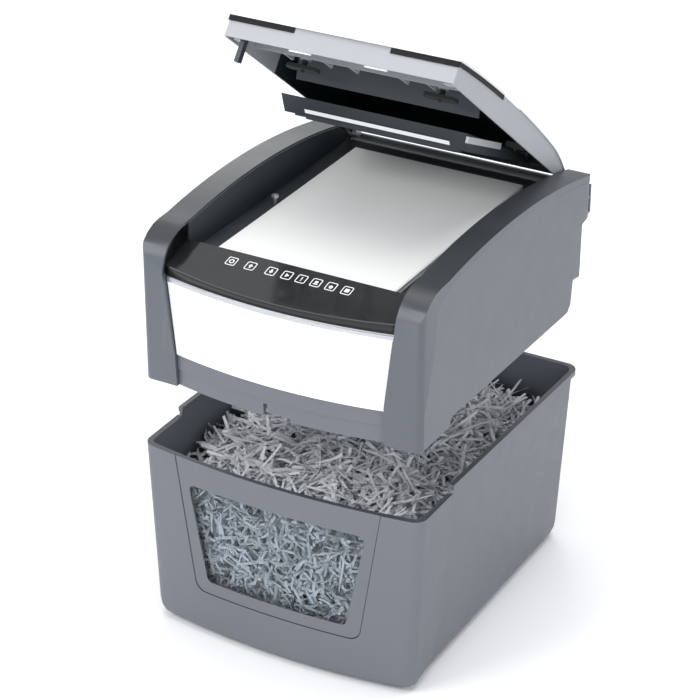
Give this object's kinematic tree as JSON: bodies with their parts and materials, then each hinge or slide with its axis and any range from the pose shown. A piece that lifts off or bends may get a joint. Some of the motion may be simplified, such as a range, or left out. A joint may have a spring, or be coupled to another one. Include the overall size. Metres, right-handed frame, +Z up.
{
  "type": "paper shredder",
  "caption": "Desk-side paper shredder: head with auto-feed tray and hinged lid, lifted off a waste bin with a front window; cutters, gear train, motor and fan inside.",
  "frame": {"origin": "floor under the middle of the whole machine, at the bottom centre of its bounding box as it rests with the head lifted and the lid open", "axes": "+Z up, the front with the window faces -Y, +X to the right as seen from the front"},
  "size_m": [0.342, 0.426, 0.6755],
  "materials": {
    "shell_grey": "fine grain",
    "dark_shell": "satin",
    "window_clear": "clear",
    "panel_white": "gloss",
    "silver_trim": "satin",
    "gloss_black": "gloss",
    "tray_slate": "fine grain",
    "lid_grey": "fine grain",
    "lid_white": "satin",
    "black_plastic": "matte",
    "black_rubber": "matte",
    "cutter_steel": "ground",
    "zinc_steel": "zinc plated",
    "bearing_bronze": "machined",
    "gear_nylon": "moulded",
    "motor_case": "satin",
    "board_green": "lacquered",
    "bare_aluminium": "bare",
    "signal_red": "moulded"
  },
  "bodies": {
    "bin": {"bin_tub": "shell_grey", "bin_front_shell": "shell_grey", "window_frame": "shell_grey", "bin_window": "window_clear", "bin_feet": "black_rubber", "interlock_post": "tray_slate"},
    "head": {"head_base": "dark_shell", "left_side_panel": "shell_grey", "right_side_panel": "shell_grey", "left_cheek": "dark_shell", "right_cheek": "dark_shell", "front_housing": "shell_grey", "front_panel": "panel_white", "trim_strip": "silver_trim", "control_panel": "gloss_black", "touch_board": "board_green", "paper_tray": "tray_slate", "sensor_post": "silver_trim", "rear_cover": "shell_grey", "power_inlet": "black_plastic", "hinge_brackets": "dark_shell", "casing_screws": "zinc_steel", "left_frame_plate": "zinc_steel", "right_frame_plate": "zinc_steel", "tie_rods": "zinc_steel", "cutter_bearings": "bearing_bronze", "stripper_combs": "black_plastic", "gearbox_plate": "zinc_steel", "drive_motor": "motor_case", "fan_frame": "black_plastic", "control_board": "board_green", "power_capacitor": "bare_aluminium", "interlock_switch": "black_plastic"},
    "front_cutter": {"front_cutter": "cutter_steel", "front_cutter_gear": "cutter_steel"},
    "rear_cutter": {"rear_cutter": "cutter_steel", "rear_cutter_gear": "cutter_steel"},
    "reduction": {"reduction_gear": "gear_nylon"},
    "motor_rotor": {"motor_pinion": "cutter_steel"},
    "idler": {"feed_idler": "gear_nylon"},
    "feed": {"feed_shaft": "zinc_steel", "feed_rollers": "black_rubber"},
    "fan": {"fan_rotor": "black_plastic"},
    "rocker": {"rocker_switch": "black_plastic"},
    "plunger": {"interlock_plunger": "signal_red"},
    "lid": {"lid_frame": "lid_grey", "lid_front_skin": "lid_white", "lid_rear_skin": "lid_white", "lid_gloss_edge": "gloss_black", "lid_latch_tabs": "lid_white", "lid_hinge_pins": "zinc_steel", "lid_tongue": "tray_slate", "feed_duct": "tray_slate"},
    "left_pad": {"left_press_pad": "black_rubber"},
    "right_pad": {"right_press_pad": "black_rubber"},
    "side_pad": {"side_press_pad": "black_rubber"},
    "plate": {"pressure_plate": "tray_slate", "slot_guide": "lid_white", "plate_link": "lid_grey"}
  },
  "joints": [
    {"name": "head_lift", "type": "slide", "parent": "bin", "child": "head", "axis": [0, 0, 1], "range_m": [-0.0807, 0.1]},
    {"name": "lid_hinge", "type": "hinge", "parent": "head", "child": "lid", "pos_m": [0, 0.2002, 0.4425], "axis": [-1, 0, 0], "range_deg": [-37, 6]},
    {"name": "plate_pivot", "type": "hinge", "parent": "lid", "child": "plate", "pos_m": [0, 0.18007, 0.47167], "axis": [-1, 0, 0], "range_deg": [-2.5, 14]},
    {"name": "rear_cutter_spin", "type": "hinge", "parent": "head", "child": "rear_cutter", "pos_m": [0, 0.019, 0.379], "axis": [1, 0, 0], "continuous": true},
    {"name": "front_cutter_spin", "type": "hinge", "parent": "head", "child": "front_cutter", "pos_m": [0, -0.019, 0.379], "axis": [1, 0, 0], "continuous": true},
    {"name": "reduction_spin", "type": "hinge", "parent": "head", "child": "reduction", "pos_m": [0, 0.04798, 0.36799], "axis": [1, 0, 0], "continuous": true},
    {"name": "motor_spin", "type": "hinge", "parent": "head", "child": "motor_rotor", "pos_m": [0, 0.0923, 0.36018], "axis": [1, 0, 0], "continuous": true},
    {"name": "idler_spin", "type": "hinge", "parent": "head", "child": "idler", "pos_m": [0, -0.02106, 0.41294], "axis": [1, 0, 0], "continuous": true},
    {"name": "feed_spin", "type": "hinge", "parent": "head", "child": "feed", "pos_m": [0, 0.005, 0.42], "axis": [1, 0, 0], "continuous": true},
    {"name": "fan_spin", "type": "hinge", "parent": "head", "child": "fan", "pos_m": [-0.115, 0.1387, 0.363], "axis": [0, 1, 0], "continuous": true},
    {"name": "rocker_tilt", "type": "hinge", "parent": "head", "child": "rocker", "pos_m": [0, 0.1802, 0.362], "axis": [1, 0, 0], "range_deg": [-8, 8]},
    {"name": "plunger_press", "type": "slide", "parent": "head", "child": "plunger", "axis": [0, 0, 1], "range_m": [0, 0.003], "stiffness_N_per_m": 300},
    {"name": "left_pad_press", "type": "slide", "parent": "lid", "child": "left_pad", "axis": [0, 0.6293, 0.7771], "range_m": [0, 0.005], "stiffness_N_per_m": 200},
    {"name": "right_pad_press", "type": "slide", "parent": "lid", "child": "right_pad", "axis": [0, 0.6293, 0.7771], "range_m": [0, 0.005], "stiffness_N_per_m": 200},
    {"name": "side_pad_press", "type": "slide", "parent": "lid", "child": "side_pad", "axis": [0, 0.6293, 0.7771], "range_m": [0, 0.005], "stiffness_N_per_m": 200}
  ],
  "couplings": [
    {"joint": "front_cutter_spin", "follows": "rear_cutter_spin", "ratio": -1},
    {"joint": "reduction_spin", "follows": "rear_cutter_spin", "ratio": -1.5833},
    {"joint": "motor_spin", "follows": "rear_cutter_spin", "ratio": 6.3333},
    {"joint": "idler_spin", "follows": "rear_cutter_spin", "ratio": 1.2667},
    {"joint": "feed_spin", "follows": "rear_cutter_spin", "ratio": -1.5833},
    {"joint": "plate_pivot", "follows": "lid_hinge", "ratio": -0.36435}
  ]
}
